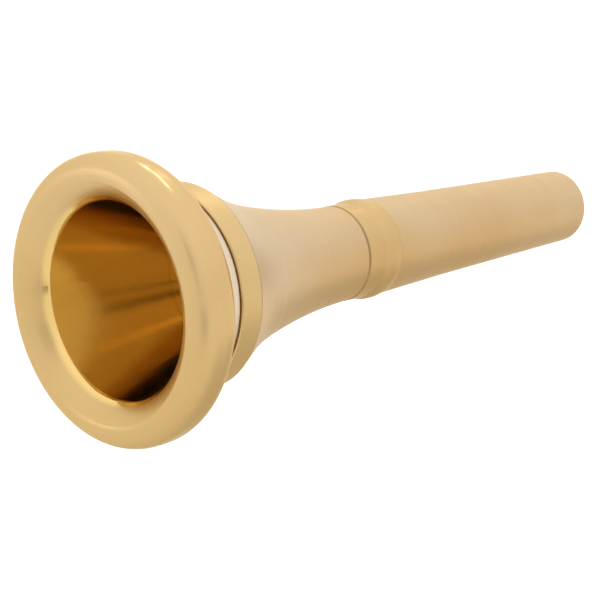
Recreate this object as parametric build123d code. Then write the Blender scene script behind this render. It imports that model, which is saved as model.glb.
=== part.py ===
from build123d import *

import math
import os

# Brass mouthpiece of the french horn kind, in millimetres: a rim, a cup and a shank that screw
# together, with a loose ring clamped in each of the two joints.
# The axis of every turned surface is X. The origin is the centre of the shank's end face, +X
# points out of the shank's end, and the rim's face looks along -X.
# A station is a distance behind the rim's crest, measured along the axis.

LENGTH = 65.4

# Rim: a bead, whose face turns a small round inside its crest and then runs in a slow curve to the
# bite, a cove behind the bead and a short neck. The bite is where the face would meet the funnel in
# a sharp corner, and is eased from the face's end to the cone's start.
BITE_R = 8.75
BITE_STATION = 1.86
FACE_END = (1.70, 8.85)
CONE_START = 1.96
CREST_R = 11.05
CREST_ROUND = 0.9
CREST_TURN = math.radians(30)
RIM_R = 12.93
BEAD_BACK_START = 2.68
BEAD_BACK_ROUND = 2.12
NECK_R = 9.1
RIM_SHOULDER = 8.0

# Funnel bore: a straight cone from the bite, a long round into the throat, the throat itself, then
# the backbore, which opens out to the shank's end.
FUNNEL_ANGLE = math.radians(15.5)
THROAT_ROUND = 20.0
THROAT_R = 2.3
THROAT_END = 31.0
BACKBORE_END_R = 3.1

# Collar ring, clamped between rim and cup.
COLLAR_R = 9.35
COLLAR_WALL = 1.2
COLLAR_BACK = 10.4

# Cup: its outside is one hollow curve, through two points between its ends.
CUP_MOUTH_R = 9.25
CUP_HOLLOW = [(14.3, 7.3), (20.3, 5.62)]
CUP_MOUTH_SLOPE = -0.56
CUP_REAR_SLOPE = -0.04
CUP_REAR = 29.6
CUP_REAR_R = 4.58

# Joint ring, clamped between cup and shank: flush with the cup in front, with a low bead behind
# that runs down to the shank.
JOINT_RING_R = 4.62
JOINT_RING_WALL = 0.82
JOINT_RING_BACK = 34.1
JOINT_BEAD_R = 4.86
JOINT_BEAD_FRONT = 31.8
JOINT_BEAD_TOP = (32.4, 33.2)
JOINT_BEAD_BACK_R = 4.7

# Shank: a neck that narrows to the taper which seats in the leadpipe. The taper is 1 in 19.2 on
# diameter, the rate of the common horn receiver, and would be SHANK_END_R at the end but for the
# rounded nose.
SHANK_FRONT_R = 4.69
TAPER_START = 43.5
SHANK_END_R = 3.75
SHANK_TAPER = 1 / 19.2
NOSE_LENGTH = 1.0
NOSE_END_R = 3.3

# Screw threads: right-hand, single start, 60 degrees.
PITCH = 0.75
THREAD_DEPTH = 0.4
CREST_FLAT = PITCH / 8
FLANK_RUN = math.tan(math.radians(30))
RIM_THREAD_R = 7.15
RIM_SPIGOT_END = 13.3
CUP_THREAD_R = 3.5
CUP_SPIGOT_END = 39.3

# Clearances, run-outs and broken edges.
RING_PLAY = 0.05
THREAD_PLAY = 0.1
SEAT_GAP = 0.03
PILOT_GAP = 0.05
EDGE = 0.1
GROOVE = 0.12
FINE_EDGE = 0.04
UNDERCUT = 0.5
RELIEF = 0.8
LEAD_IN = 0.35
RUN_IN = 1.5 * PITCH


def at(station, radius):
    """Point of an outline: along the axis by station, out from it by radius."""
    return (station - LENGTH, radius)


def turned(*edges):
    """Solid turned about X from a closed chain of edges."""
    return revolve(Face(Wire(edges)), Axis.X)


def turned_polygon(*points):
    """Solid turned about X from a closed outline of straight lines."""
    return turned(*Polyline(*points, close=True).edges())


# Where the funnel's cone meets the round into the throat, and where that round ends.
CONE_END_R = THROAT_R + THROAT_ROUND * (1 - math.cos(FUNNEL_ANGLE))
CONE_END = BITE_STATION + (BITE_R - CONE_END_R) / math.tan(FUNNEL_ANGLE)
THROAT_START = CONE_END + THROAT_ROUND * math.sin(FUNNEL_ANGLE)

# Seats at the bottom of the two sockets, and the first and last turns of the two threads.
CUP_SEAT = RIM_SPIGOT_END + SEAT_GAP
SHANK_SEAT = CUP_SPIGOT_END + SEAT_GAP
RIM_THREAD = (COLLAR_BACK + UNDERCUT, RIM_SPIGOT_END - LEAD_IN)
CUP_THREAD = (JOINT_RING_BACK + UNDERCUT, CUP_SPIGOT_END - LEAD_IN)


def cone_r(station):
    """Radius of the funnel's straight cone."""
    return BITE_R - (station - BITE_STATION) * math.tan(FUNNEL_ANGLE)


def backbore_r(station):
    """Radius of the backbore, from the throat to the shank's end."""
    along = (station - THROAT_END) / (LENGTH - THROAT_END)
    return THROAT_R + (BACKBORE_END_R - THROAT_R) * along


def taper_r(station):
    """Radius of the shank's taper."""
    return SHANK_END_R + (LENGTH - station) * SHANK_TAPER / 2


def thread_ridge(crest_r, foot_r, first, last):
    """Helical ridge of one thread, with its ends centred on two stations."""
    depth = crest_r - foot_r
    half_foot = CREST_FLAT / 2 + depth * FLANK_RUN
    path = Helix(PITCH, last - first, foot_r, center=at(first, 0), direction=(1, 0, 0))
    start = path @ 0
    out = Vector(0, start.Y, start.Z).normalized() * depth
    along = Vector(1, 0, 0)
    corners = [
        start - along * half_foot,
        start - along * (CREST_FLAT / 2) + out,
        start + along * (CREST_FLAT / 2) + out,
        start + along * half_foot,
    ]
    return Solid.sweep(Wire.make_polygon(corners, close=True), path, is_frenet=True)


def male_thread(major_r, first, last):
    """Ridge of an outside thread with both ends bevelled, sunk a little into its core."""
    foot_r = major_r - THREAD_DEPTH - EDGE
    ridge = thread_ridge(major_r, foot_r, first - RUN_IN, last + PITCH)
    below, above = foot_r - EDGE / 2, major_r + EDGE
    envelope = turned_polygon(
        at(first - LEAD_IN / 2, 0),
        at(first - LEAD_IN / 2, below),
        at(first + LEAD_IN / 2, above),
        at(last - LEAD_IN, above),
        at(last + LEAD_IN / 2, below),
        at(last + LEAD_IN / 2, 0),
    )
    return ridge & envelope


def thread_cutter(male_r, first, seat):
    """Cutter for the inside thread that takes a male thread, in phase with it.

    It starts outside the socket's mouth and ends in the relief groove before the seat.
    """
    crest_r = male_r + THREAD_PLAY
    foot_r = crest_r - THREAD_DEPTH - EDGE
    return thread_ridge(crest_r, foot_r, first - RUN_IN, seat - RELIEF / 2)


def make_rim():
    """Bead, cove and neck, with a pilot for the collar ring and a threaded spigot behind it."""
    cone_start = at(CONE_START, cone_r(CONE_START))
    out_of_cone = (-math.cos(FUNNEL_ANGLE), math.sin(FUNNEL_ANGLE))
    crest = at(0, CREST_R)
    shoulder_depth = CREST_ROUND * (1 - math.cos(CREST_TURN))
    shoulder = at(shoulder_depth, CREST_R - CREST_ROUND * math.sin(CREST_TURN))
    up_face = (-math.sin(CREST_TURN), math.cos(CREST_TURN))
    down_face = (math.sin(CREST_TURN), -math.cos(CREST_TURN))
    front_round = RIM_R - CREST_R
    back_r = RIM_R - BEAD_BACK_ROUND
    bead_back = BEAD_BACK_START + BEAD_BACK_ROUND
    cove_round = back_r - NECK_R
    pilot_r = COLLAR_R - COLLAR_WALL - RING_PLAY
    core_r = RIM_THREAD_R - THREAD_DEPTH
    face = [
        TangentArc(cone_start, at(*FACE_END), tangent=out_of_cone),
        TangentArc(shoulder, at(*FACE_END), tangent=down_face),
        TangentArc(shoulder, crest, tangent=up_face),
        JernArc(crest, (0, 1), front_round, -90),
        Line(at(front_round, RIM_R), at(BEAD_BACK_START, RIM_R)),
        JernArc(at(BEAD_BACK_START, RIM_R), (1, 0), BEAD_BACK_ROUND, -90),
        JernArc(at(bead_back, back_r), (0, -1), cove_round, 90),
    ]
    spigot = Polyline(
        at(bead_back + cove_round, NECK_R),
        at(RIM_SHOULDER - EDGE, NECK_R),
        at(RIM_SHOULDER, NECK_R - EDGE),
        at(RIM_SHOULDER, pilot_r),
        at(COLLAR_BACK - PILOT_GAP, pilot_r),
        at(COLLAR_BACK - PILOT_GAP, core_r),
        at(RIM_SPIGOT_END - EDGE, core_r),
        at(RIM_SPIGOT_END, core_r - EDGE),
        at(RIM_SPIGOT_END, cone_r(RIM_SPIGOT_END)),
        cone_start,
    )
    blank = turned(*face, *spigot.edges())
    return blank + male_thread(RIM_THREAD_R, *RIM_THREAD)


def make_collar_ring():
    """Plain ring on the rim's pilot, with its four edges broken."""
    bore_r = COLLAR_R - COLLAR_WALL
    return turned_polygon(
        at(RIM_SHOULDER, bore_r + EDGE),
        at(RIM_SHOULDER, COLLAR_R - EDGE),
        at(RIM_SHOULDER + EDGE, COLLAR_R),
        at(COLLAR_BACK - EDGE, COLLAR_R),
        at(COLLAR_BACK, COLLAR_R - EDGE),
        at(COLLAR_BACK, bore_r + EDGE),
        at(COLLAR_BACK - EDGE, bore_r),
        at(RIM_SHOULDER + EDGE, bore_r),
    )


def make_cup():
    """Cup with a socket for the rim in front and a pilot and threaded spigot behind."""
    socket_r = RIM_THREAD_R - THREAD_DEPTH + THREAD_PLAY
    relief_r = RIM_THREAD_R + THREAD_PLAY + EDGE / 2
    pilot_r = JOINT_RING_R - JOINT_RING_WALL - RING_PLAY
    core_r = CUP_THREAD_R - THREAD_DEPTH
    hollow = Spline(
        at(COLLAR_BACK + EDGE, CUP_MOUTH_R),
        *[at(*point) for point in CUP_HOLLOW],
        at(CUP_REAR - GROOVE, CUP_REAR_R),
        tangents=[(1, CUP_MOUTH_SLOPE), (1, CUP_REAR_SLOPE)],
    )
    spigot = Polyline(
        at(CUP_REAR - GROOVE, CUP_REAR_R),
        at(CUP_REAR, CUP_REAR_R - GROOVE),
        at(CUP_REAR, pilot_r),
        at(JOINT_RING_BACK - PILOT_GAP, pilot_r),
        at(JOINT_RING_BACK - PILOT_GAP, core_r),
        at(CUP_SPIGOT_END - EDGE, core_r),
        at(CUP_SPIGOT_END, core_r - EDGE),
        at(CUP_SPIGOT_END, backbore_r(CUP_SPIGOT_END)),
        at(THROAT_END, THROAT_R),
        at(THROAT_START, THROAT_R),
    )
    throat = TangentArc(
        at(THROAT_START, THROAT_R), at(CONE_END, CONE_END_R), tangent=(-1, 0)
    )
    socket = Polyline(
        at(CONE_END, CONE_END_R),
        at(CUP_SEAT, cone_r(CUP_SEAT)),
        at(CUP_SEAT, relief_r),
        at(CUP_SEAT - RELIEF, relief_r),
        at(CUP_SEAT - RELIEF, socket_r),
        at(COLLAR_BACK + LEAD_IN, socket_r),
        at(COLLAR_BACK, relief_r + EDGE),
        at(COLLAR_BACK, CUP_MOUTH_R - EDGE),
        at(COLLAR_BACK + EDGE, CUP_MOUTH_R),
    )
    blank = turned(hollow, *spigot.edges(), throat, *socket.edges())
    tapped = blank - thread_cutter(RIM_THREAD_R, RIM_THREAD[0], CUP_SEAT)
    return tapped + male_thread(CUP_THREAD_R, *CUP_THREAD)


def make_joint_ring():
    """Ring on the cup's rear pilot: plain in front, then a low bead with sloped flanks."""
    bore_r = JOINT_RING_R - JOINT_RING_WALL
    bead_top_start, bead_top_end = JOINT_BEAD_TOP
    return turned_polygon(
        at(CUP_REAR + EDGE, bore_r),
        at(CUP_REAR, bore_r + EDGE),
        at(CUP_REAR, JOINT_RING_R - GROOVE),
        at(CUP_REAR + GROOVE, JOINT_RING_R),
        at(JOINT_BEAD_FRONT, JOINT_RING_R),
        at(bead_top_start, JOINT_BEAD_R),
        at(bead_top_end, JOINT_BEAD_R),
        at(JOINT_RING_BACK - FINE_EDGE, JOINT_BEAD_BACK_R),
        at(JOINT_RING_BACK, JOINT_BEAD_BACK_R - FINE_EDGE),
        at(JOINT_RING_BACK, bore_r + EDGE),
        at(JOINT_RING_BACK - EDGE, bore_r),
    )


def make_shank():
    """Tapered shank with a threaded socket in front and the backbore through it."""
    socket_r = CUP_THREAD_R - THREAD_DEPTH + THREAD_PLAY
    relief_r = CUP_THREAD_R + THREAD_PLAY + EDGE / 2
    nose_start = LENGTH - NOSE_LENGTH
    outside = Polyline(
        at(JOINT_RING_BACK, relief_r + EDGE),
        at(JOINT_RING_BACK, SHANK_FRONT_R - FINE_EDGE),
        at(JOINT_RING_BACK + FINE_EDGE, SHANK_FRONT_R),
        at(TAPER_START, taper_r(TAPER_START)),
        at(nose_start, taper_r(nose_start)),
    )
    nose = TangentArc(
        at(nose_start, taper_r(nose_start)), at(LENGTH, NOSE_END_R), tangent=(1, -SHANK_TAPER / 2)
    )
    inside = Polyline(
        at(LENGTH, NOSE_END_R),
        at(LENGTH, BACKBORE_END_R),
        at(SHANK_SEAT, backbore_r(SHANK_SEAT)),
        at(SHANK_SEAT, relief_r),
        at(SHANK_SEAT - RELIEF, relief_r),
        at(SHANK_SEAT - RELIEF, socket_r),
        at(JOINT_RING_BACK + LEAD_IN, socket_r),
        at(JOINT_RING_BACK, relief_r + EDGE),
    )
    blank = turned(*outside.edges(), nose, *inside.edges())
    return blank - thread_cutter(CUP_THREAD_R, CUP_THREAD[0], SHANK_SEAT)


PARTS = {
    "rim": make_rim,
    "collar_ring": make_collar_ring,
    "cup": make_cup,
    "joint_ring": make_joint_ring,
    "shank": make_shank,
}

os.makedirs("parts", exist_ok=True)
for node, make in PARTS.items():
    solid = make()
    export_step(solid, f"parts/{node}.step")
    print(f"{node}: {solid.volume:.1f} mm3, {len(solid.faces())} faces")
print(f"throat from station {THROAT_START:.2f} to {THROAT_END}")
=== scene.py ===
import math

import bpy
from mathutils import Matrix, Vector


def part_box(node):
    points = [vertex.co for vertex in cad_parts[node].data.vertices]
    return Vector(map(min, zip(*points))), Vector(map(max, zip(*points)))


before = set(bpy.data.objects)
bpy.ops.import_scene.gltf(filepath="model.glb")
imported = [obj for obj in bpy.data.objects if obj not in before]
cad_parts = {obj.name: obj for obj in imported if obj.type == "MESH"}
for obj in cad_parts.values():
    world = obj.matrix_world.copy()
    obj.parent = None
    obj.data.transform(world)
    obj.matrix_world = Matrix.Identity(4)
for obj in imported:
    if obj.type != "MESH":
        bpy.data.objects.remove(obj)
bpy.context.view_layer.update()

# Camera: where it stands in the frame, which way it looks and how long its lens is.
CAMERA_AT = Vector((-0.17344, -0.12673, 0.03880))
CAMERA_AZIMUTH = math.radians(43.65)
CAMERA_DROP = math.radians(13.04)
LENS_MM = 120.0
SENSOR_MM = 36.0
CLIP_START = 0.005

# Places along the axis, which is X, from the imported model.
RIM_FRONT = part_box("rim")[0][0]
COLLAR_FRONT, COLLAR_BACK = (corner[0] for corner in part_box("collar_ring"))
RING_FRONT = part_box("joint_ring")[0][0]

# The funnel's cone and the widest backbore, which tell the bored walls from the outside.
BITE_X = RIM_FRONT + 0.00186
BITE_R = 0.00875
CONE_SLOPE = math.tan(math.radians(15.5))
BACKBORE_R = 0.0031
BORE_EDGE = (0.0001, 0.0004)

# Where the finish changes: radii at which the bead's side begins and is full, distances behind the
# rim's front at which the neck's painted reflection begins and is full, and how far short of the collar
# ring it stops.
BEAD_SIDE = (0.01255, 0.01285)
NECK_START = (0.0046, 0.0056)
NECK_STOP = 0.00002

# Painted shade in the seams behind the collar ring and before the joint ring: half-width, softness,
# amount.
COLLAR_SEAM_SHADE = (0.00004, 0.00010, 0.25)
RING_SEAM_SHADE = (0.00006, 0.00014, 0.55)

# Light levels: the sky at the horizon and overhead, and the floor's paper. It carries two painted
# shadows, soft darker spots under the cup and the shank and where the camera stands: centre, inner
# and outer radius, and the paper's albedo in the middle.
SKY_HORIZON = 1.45
SKY_TOP = 1.62
PAPER = 0.93
PAPER_PAINTED_SHADOWS = [
    ((0.012, 0.0, 0.0), 0.03, 0.11, 0.66),
    ((-0.262, -0.212, 0.0), 0.04, 0.15, 0.20),
]
FLOOR_Z = -0.05
FLOOR_HALF = 4.0
FLOOR_ROUGH = 0.9
SKY_FULL_HEIGHT = 0.9

# Patches of the surroundings: azimuth, elevation and half-width in degrees, softness in degrees,
# and how much light each adds or takes away.
PATCHES = [
    (-148, 18, 3, 7, -0.8),
    (-150, 28, 3, 7, -0.8),
    (133, 10, 5, 8, 0.85),
    (37, 47, 1.0, 1.6, 15.0),
    (24, 50, 1.0, 1.6, 15.0),
    (11, 57, 1.0, 1.6, 12.0),
]


class Nodes:
    """Short calls that add nodes to one material or world and link them up."""

    def __init__(self, tree):
        self.tree = tree
        tree.nodes.clear()

    def add(self, kind, inputs=None, **settings):
        node = self.tree.nodes.new(kind)
        for key, value in settings.items():
            setattr(node, key, value)
        for key, value in (inputs or {}).items():
            self.put(value, node.inputs[key])
        return node

    def put(self, value, socket):
        if isinstance(value, bpy.types.NodeSocket):
            self.tree.links.new(value, socket)
        elif isinstance(value, bpy.types.Node):
            self.tree.links.new(value.outputs[0], socket)
        else:
            socket.default_value = value

    def math(self, operation, a, b=0.0):
        return self.add("ShaderNodeMath", {0: a, 1: b}, operation=operation)

    def total(self, *terms):
        """Weighted sum of (value, weight) pairs."""
        result = self.math("MULTIPLY", *terms[0])
        for term in terms[1:]:
            result = self.math("ADD", result, self.math("MULTIPLY", *term))
        return result

    def remap(self, value, low, high, to_low, to_high):
        return self.add(
            "ShaderNodeMapRange",
            {0: value, 1: low, 2: high, 3: to_low, 4: to_high},
            interpolation_type="SMOOTHSTEP",
        )

    def mix(self, factor, a, b):
        node = self.add("ShaderNodeMix", data_type="RGBA")
        self.put(factor, node.inputs[0])
        self.put(a, node.inputs[6])
        self.put(b, node.inputs[7])
        return node.outputs[2]

    def band(self, value, centre, half, soft):
        """1 within half of the centre, falling to 0 over the soft distance."""
        away = self.math("ABSOLUTE", self.math("SUBTRACT", value, centre))
        return self.remap(away, half, half + soft, 1.0, 0.0)


class Turned:
    """Position on a turned piece: along the axis, and out from it."""

    def __init__(self, n):
        self.n = n
        self.place = n.add("ShaderNodeTexCoord").outputs["Object"]
        self.x, self.y, self.z = n.add("ShaderNodeSeparateXYZ", {0: self.place}).outputs
        squares = n.math("ADD", n.math("MULTIPLY", self.y, self.y), n.math("MULTIPLY", self.z, self.z))
        self.radius = n.math("SQRT", squares)

    def rings(self, across, along, detail):
        """Noise drawn out into rings round the axis, as a cutting tool or a cloth leaves them."""
        n = self.n
        vector = n.add("ShaderNodeCombineXYZ", {
            0: n.math("MULTIPLY", self.x, across),
            1: n.math("MULTIPLY", self.radius, across),
            2: n.math("MULTIPLY", self.y, along),
        })
        return n.add(
            "ShaderNodeTexNoise",
            {"Vector": vector, "W": n.math("MULTIPLY", self.z, along), "Scale": 1.0, "Detail": detail},
            noise_dimensions="4D",
        ).outputs[0]

    def cloud(self, scale, detail):
        return self.n.add(
            "ShaderNodeTexNoise", {"Vector": self.place, "Scale": scale, "Detail": detail}
        ).outputs[0]

    def bored(self):
        """1 on the walls of the bore, 0 outside."""
        n = self.n
        fall = n.math("MULTIPLY", n.math("SUBTRACT", self.x, BITE_X), CONE_SLOPE)
        cone = n.math("MAXIMUM", n.math("SUBTRACT", BITE_R, fall), BACKBORE_R)
        return n.remap(n.math("SUBTRACT", self.radius, cone), *BORE_EDGE, 1.0, 0.0)

    def mouth_painted_light(self):
        """Painted light: 1 at the cup's mouth, which is painted paler as if more light fell there, 0 from
        the joint ring back.
        """
        return self.n.remap(self.x, COLLAR_BACK, RING_FRONT, 1.0, 0.0)

    def top_painted_light(self):
        """Painted light: 1 on the side that faces up, which is painted paler as if lit from above, 0 on
        the side that faces down.
        """
        return self.n.remap(self.n.math("DIVIDE", self.z, self.radius), *TOP_PAINTED_LIGHT, 0.0, 1.0)

    def bead_side(self):
        """1 on the outer side of the rim's bead, which is more polished than its face."""
        return self.n.remap(self.radius, *BEAD_SIDE, 0.0, 1.0)

    def neck(self):
        """1 on the rim's neck, between the bead and the collar ring, where a pale reflection is painted.
        """
        n = self.n
        start, full = (RIM_FRONT + distance for distance in NECK_START)
        along = n.remap(self.x, start, full, 0.0, 1.0)
        before = n.remap(self.x, COLLAR_FRONT - NECK_STOP, COLLAR_FRONT, 1.0, 0.0)
        return n.math("MULTIPLY", along, before)

    def seam(self, place, half, soft, amount):
        return self.n.math("MULTIPLY", self.n.band(self.x, place, half, soft), amount)

    def seam_shade(self):
        """How much painted shade darkens the lines where two pieces meet."""
        collar = self.seam(COLLAR_BACK, *COLLAR_SEAM_SHADE)
        ring = self.seam(RING_FRONT, *RING_SEAM_SHADE)
        return self.n.math("ADD", collar, ring)


# Outside finishes: the brass where it is warm and where it is pale, reached through its random tint
# and through painted light, the range of its roughness, how much lacquer it has, and how deep its turning
# marks are.
FINISHES = {
    "polished_brass": dict(
        warm=(0.440, 0.288, 0.105), pale=(0.490, 0.345, 0.165), rough=(0.28, 0.36), coat=0.0, marks=1.5e-6
    ),
    "satin_brass": dict(
        warm=(0.430, 0.275, 0.115), pale=(0.500, 0.405, 0.290), rough=(0.36, 0.46), coat=0.1, marks=5e-6
    ),
    "ring_brass": dict(
        warm=(0.430, 0.280, 0.115), pale=(0.490, 0.365, 0.190), rough=(0.30, 0.40), coat=0.05, marks=3e-6
    ),
}
SHARP_ANGLE = math.radians(25)
EDGE_TINT = (0.92, 0.80, 0.62, 1)
COAT_ROUGH = 0.35

# Noise: how fast it changes across and along the rings, or its scale, then its detail. Most of its
# values lie in the span.
FINE_MARKS = (9000.0, 60.0, 3.0)
BROAD_MARKS = (1400.0, 25.0, 2.0)
SMUDGES = (130.0, 4.0)
TINTS = (45.0, 3.0)
SPAN = (0.35, 0.65)

# What makes the brass pale: chance, which is its own random tint, and two kinds of painted light,
# nearness to the cup's mouth and facing up. The last runs from the first to the second share of straight
# up.
PALE_SHARES = (0.3, 0.3, 0.4)
TOP_PAINTED_LIGHT = (-0.3, 0.95)

# The bore, painted lighter than the outside brass; the side of the bead; the neck, painted pale as a
# reflection; and the painted shade in the seams.
# The bore's brass is painted lighter than the outside brass, standing in for light in the hollow.
BORE_WARM_WITH_PAINTED_LIGHT = (0.555, 0.380, 0.130, 1)
BORE_PALE_WITH_PAINTED_LIGHT = (0.610, 0.430, 0.170, 1)
BORE_ROUGH = (0.10, 0.16)
BORE_RELIEF = 0.1
BEAD_SIDE_ROUGH = 0.22
NECK_PAINTED_REFLECTION = (0.54, 0.44, 0.33, 1)
SEAM_SHADE_COLOUR = (0.16, 0.095, 0.035, 1)


def brass(name, warm, pale, rough, coat, marks):
    """Turned brass: rings of fine marks, smudges in its gloss, a slow change of tint, painted shade in
    the seams, painted light on its upper side, towards the cup's mouth and in the bore, and a painted
    reflection on the neck.
    """
    material = bpy.data.materials.new(name)
    material.use_nodes = True
    n = Nodes(material.node_tree)
    on = Turned(n)
    fine = on.rings(*FINE_MARKS)
    broad = on.rings(*BROAD_MARKS)
    smudge = on.cloud(*SMUDGES)
    tint = n.remap(on.cloud(*TINTS), *SPAN, 0.0, 1.0)
    bored = on.bored()

    # The random tint is mixed with painted light on the upper side and towards the cup's mouth.
    tint_and_painted_light = n.total(*zip((tint, on.mouth_painted_light(), on.top_painted_light()), PALE_SHARES))
    outside = n.mix(tint_and_painted_light, (*warm, 1), (*pale, 1))
    inside = n.mix(tint, BORE_WARM_WITH_PAINTED_LIGHT, BORE_PALE_WITH_PAINTED_LIGHT)
    # The neck is painted pale, standing in for the whitish reflection in the gap.
    bare = n.mix(bored, n.mix(on.neck(), outside, NECK_PAINTED_REFLECTION), inside)
    outer = n.math("SUBTRACT", 1.0, bored)
    # Painted shade darkens the seams on the outside, not in the bore.
    colour = n.mix(n.math("MULTIPLY", on.seam_shade(), outer), bare, SEAM_SHADE_COLOUR)

    marking = n.total((fine, 0.5), (broad, 0.5))
    gloss = n.total((marking, 0.5), (smudge, 0.5))
    brushed = n.remap(gloss, *SPAN, *rough)
    rough_outside = n.add("ShaderNodeMix", {0: on.bead_side(), 2: brushed, 3: BEAD_SIDE_ROUGH}).outputs[0]
    rough_inside = n.remap(smudge, *SPAN, *BORE_ROUGH)
    roughness = n.add("ShaderNodeMix", {0: bored, 2: rough_outside, 3: rough_inside}).outputs[0]
    relief = n.remap(bored, 0.0, 1.0, 1.0, BORE_RELIEF)
    bump = n.add("ShaderNodeBump", {"Strength": relief, "Distance": marks, "Height": marking})
    shader = n.add("ShaderNodeBsdfPrincipled", {
        "Base Color": colour,
        "Metallic": 1.0,
        "Roughness": roughness,
        "Normal": bump,
        "Specular Tint": EDGE_TINT,
        "Coat Weight": coat,
        "Coat Roughness": COAT_ROUGH,
    })
    n.add("ShaderNodeOutputMaterial", {"Surface": shader})
    return material


MATERIALS = {name: brass(name, **finish) for name, finish in FINISHES.items()}

for node, finish in {
    "rim": "polished_brass",
    "collar_ring": "polished_brass",
    "cup": "satin_brass",
    "joint_ring": "ring_brass",
    "shank": "satin_brass",
}.items():
    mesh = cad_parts[node].data
    mesh.materials.clear()
    mesh.materials.append(MATERIALS[finish])
    mesh.shade_smooth()
    mesh.set_sharp_from_angle(angle=SHARP_ANGLE)


def make_camera():
    data = bpy.data.cameras.new("camera")
    data.lens = LENS_MM
    data.sensor_width = SENSOR_MM
    data.clip_start = CLIP_START
    camera = bpy.data.objects.new("camera", data)
    bpy.context.scene.collection.objects.link(camera)
    camera.location = CAMERA_AT
    camera.rotation_euler = (math.pi / 2 - CAMERA_DROP, 0, CAMERA_AZIMUTH - math.pi / 2)
    bpy.context.scene.camera = camera


def make_floor():
    corners = [
        (side * FLOOR_HALF, end * FLOOR_HALF, FLOOR_Z)
        for side, end in [(-1, -1), (1, -1), (1, 1), (-1, 1)]
    ]
    mesh = bpy.data.meshes.new("floor")
    mesh.from_pydata(corners, [], [(0, 1, 2, 3)])
    floor = bpy.data.objects.new("floor", mesh)
    bpy.context.scene.collection.objects.link(floor)
    material = bpy.data.materials.new("floor")
    material.use_nodes = True
    n = Nodes(material.node_tree)
    place = n.add("ShaderNodeTexCoord").outputs["Object"]
    flat = n.add("ShaderNodeVectorMath", {0: place, 1: (1, 1, 0)}, operation="MULTIPLY")
    paper = PAPER
    # Each spot is a painted shadow: the paper's albedo falls towards its centre.
    for centre, inner, outer, albedo in PAPER_PAINTED_SHADOWS:
        away = n.add("ShaderNodeVectorMath", {0: flat, 1: centre}, operation="DISTANCE").outputs["Value"]
        paper = n.math("MULTIPLY", paper, n.remap(away, inner, outer, albedo / PAPER, 1.0))
    shader = n.add("ShaderNodeBsdfPrincipled", {
        "Base Color": n.add("ShaderNodeCombineColor", {0: paper, 1: paper, 2: paper}),
        "Roughness": FLOOR_ROUGH,
        "Specular IOR Level": 0.0,
    })
    n.add("ShaderNodeOutputMaterial", {"Surface": shader})
    mesh.materials.append(material)


def toward(azimuth, elevation):
    """Direction of a place in the surroundings, from its azimuth and elevation in degrees."""
    az, el = math.radians(azimuth), math.radians(elevation)
    return (math.cos(el) * math.cos(az), math.cos(el) * math.sin(az), math.sin(el))


def make_world():
    """Soft white surroundings, brighter overhead, with a few lighter and darker patches."""
    world = bpy.data.worlds.new("studio")
    bpy.context.scene.world = world
    world.use_nodes = True
    n = Nodes(world.node_tree)
    direction = n.add("ShaderNodeTexCoord").outputs["Generated"]
    height = n.add("ShaderNodeSeparateXYZ", {0: direction}).outputs[2]
    level = n.remap(height, 0.0, SKY_FULL_HEIGHT, SKY_HORIZON, SKY_TOP)
    for azimuth, elevation, half, soft, gain in PATCHES:
        facing = n.add(
            "ShaderNodeVectorMath", {0: direction, 1: toward(azimuth, elevation)}, operation="DOT_PRODUCT"
        ).outputs["Value"]
        edge, core = math.cos(math.radians(half + soft)), math.cos(math.radians(half))
        level = n.math("ADD", level, n.remap(facing, edge, core, 0.0, gain))
    light = n.add("ShaderNodeBackground", {"Color": (1, 1, 1, 1), "Strength": level})
    n.add("ShaderNodeOutputWorld", {"Surface": light})


make_camera()
make_floor()
make_world()
bpy.context.scene.view_settings.view_transform = "Standard"
